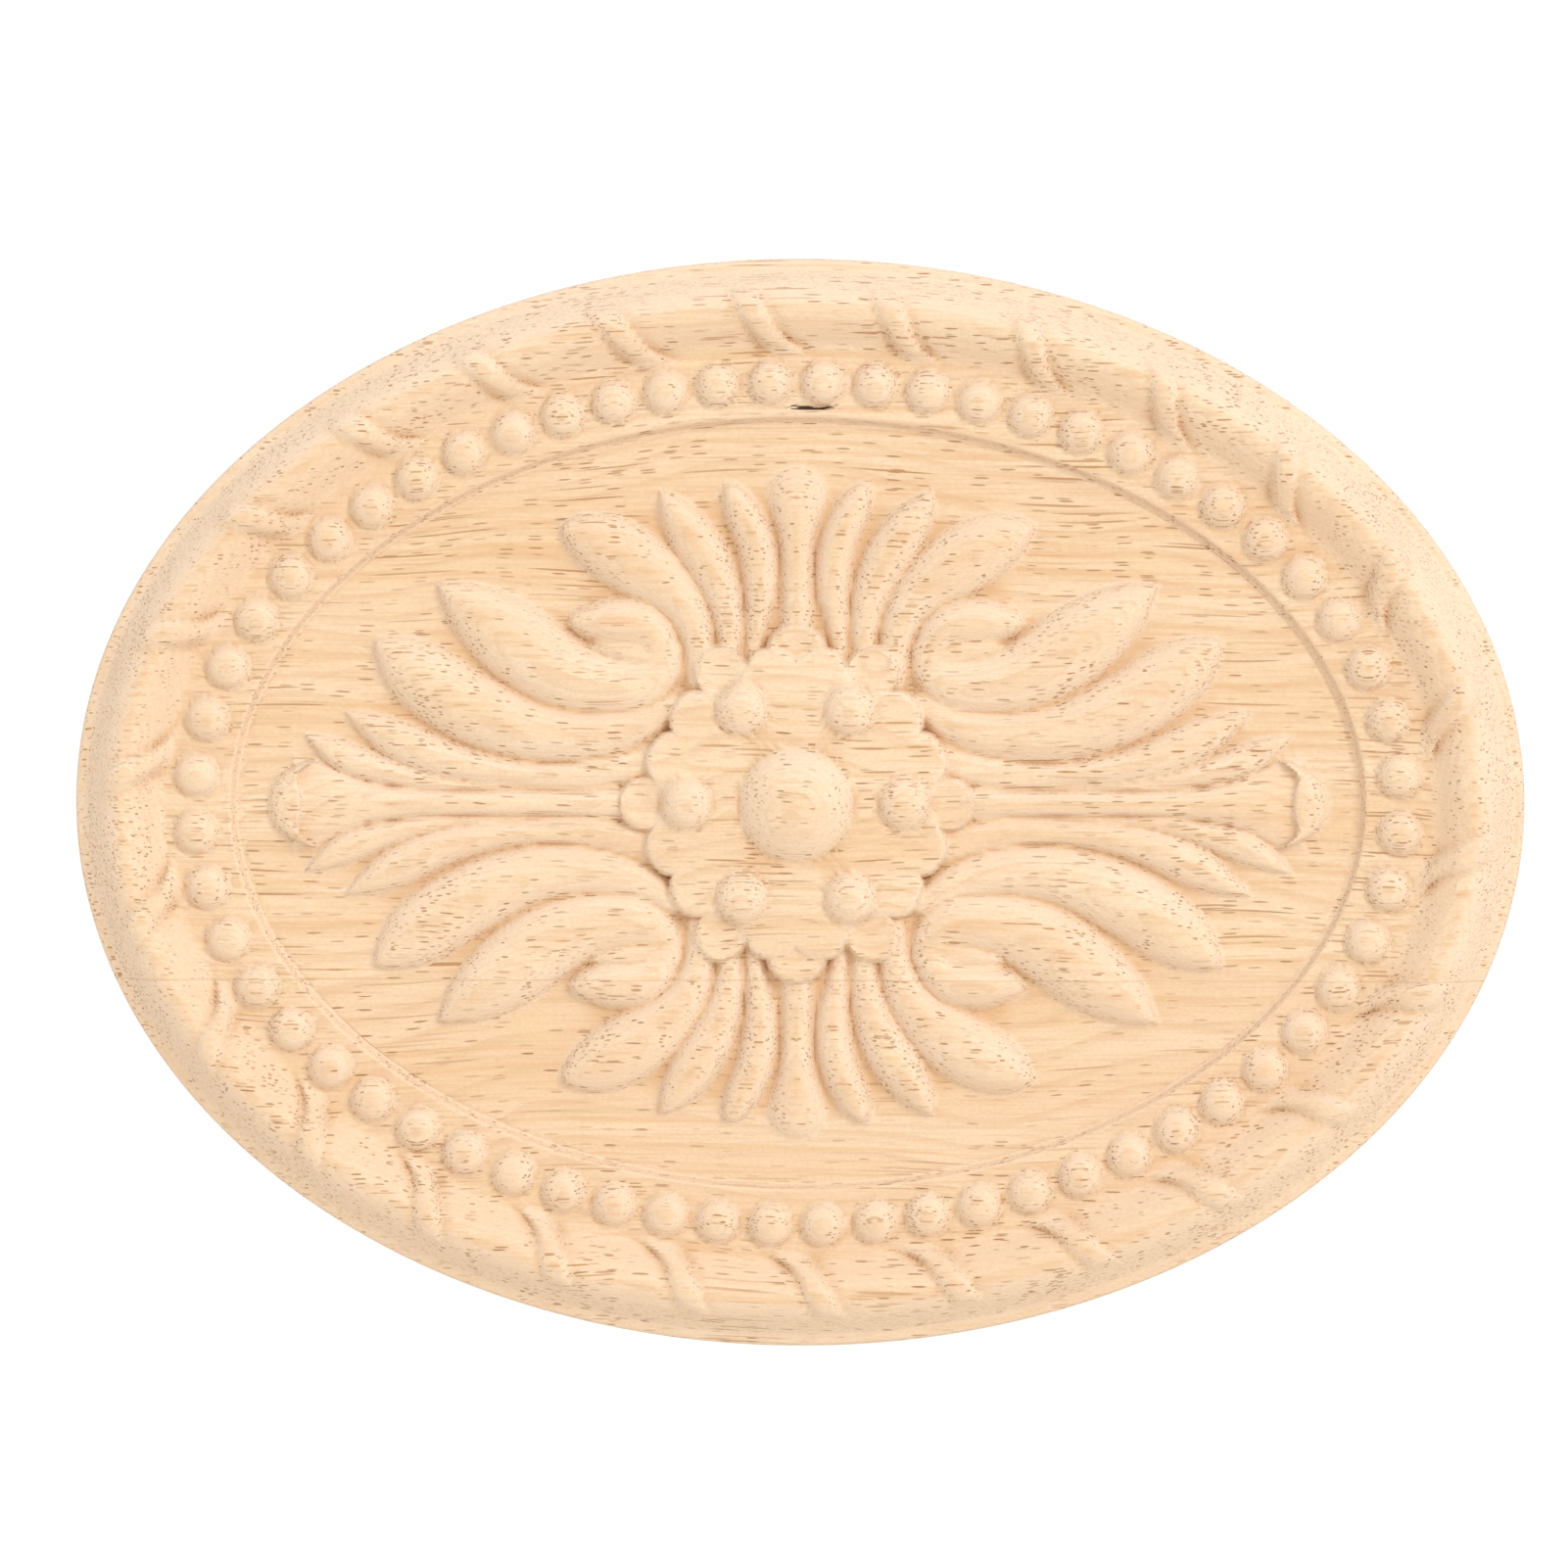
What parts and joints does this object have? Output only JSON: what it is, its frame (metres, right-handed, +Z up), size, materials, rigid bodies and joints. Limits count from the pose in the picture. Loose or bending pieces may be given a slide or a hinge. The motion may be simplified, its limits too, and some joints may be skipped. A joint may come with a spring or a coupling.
{
  "type": "carved oval wood onlay",
  "caption": "Oval carved wood onlay, a ribbon-wrapped rim and row of pearls around a sunk field with acanthus leaves and a scalloped rosette, with a flat back.",
  "frame": {"origin": "middle of the flat back", "axes": "+Z up along the oval's short axis, +X along its long axis, carved face towards -Y, back towards +Y"},
  "size_m": [0.2, 0.0146, 0.15],
  "materials": {
    "wood": "unfinished, machine carved and lightly sanded"
  },
  "bodies": {
    "root": {"oval_onlay": "wood"}
  },
  "joints": []
}
